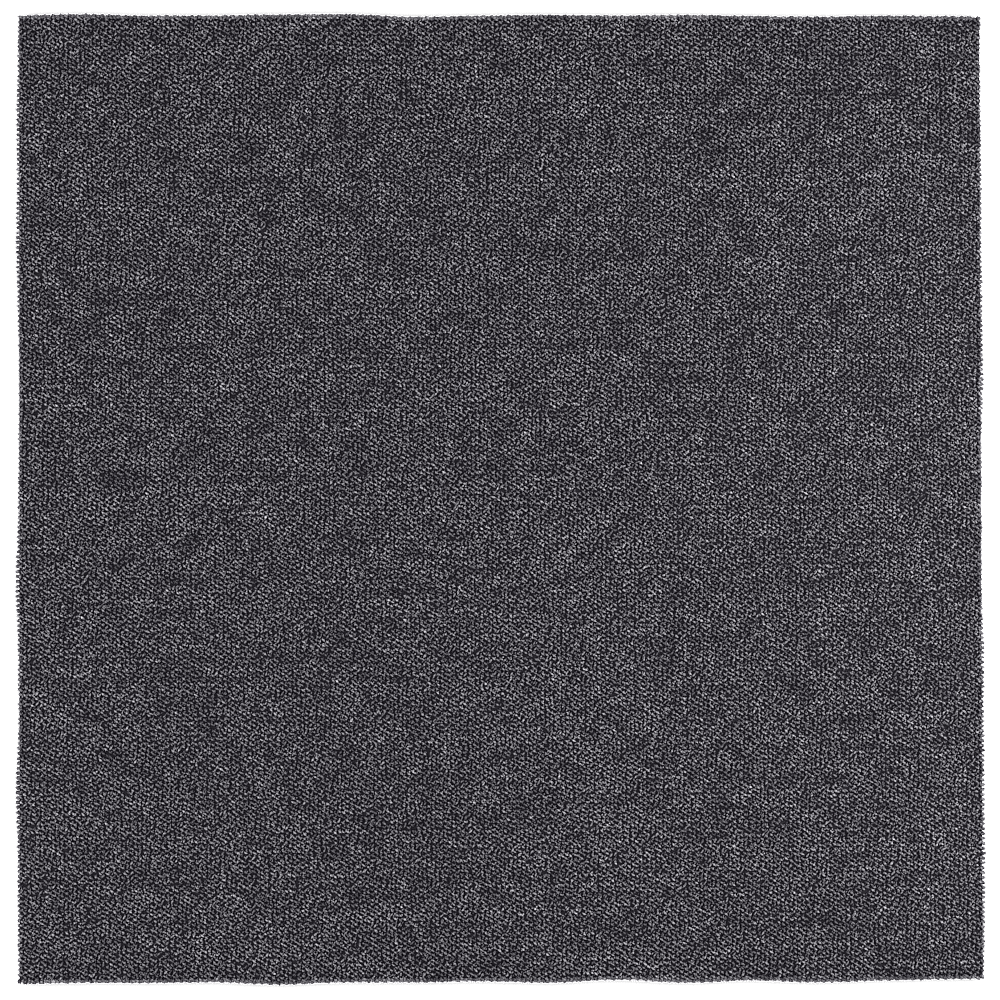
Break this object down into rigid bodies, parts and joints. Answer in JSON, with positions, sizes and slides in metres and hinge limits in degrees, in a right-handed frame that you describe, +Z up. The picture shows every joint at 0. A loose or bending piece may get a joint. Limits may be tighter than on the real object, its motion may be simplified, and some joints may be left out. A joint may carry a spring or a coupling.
{
  "type": "carpet tile",
  "caption": "Square loop-pile floor tile: a mat of low tufted yarn loops bonded to a thin heavy backing with knife-cut sides.",
  "frame": {"origin": "centre of the underside, which lies on the floor", "axes": "+Z up out of the pile, X along the tufted rows, Y across them; +Y is the picture's top edge"},
  "size_m": [0.5, 0.5, 0.006],
  "materials": {
    "bitumen_backing": "matt black bitumen compound with a fine fleece on its underside",
    "pile_yarn": "mottled anthracite yarn in low, dense loops"
  },
  "bodies": {
    "root": {"backing": "bitumen_backing", "loop_pile": "pile_yarn"}
  },
  "joints": []
}
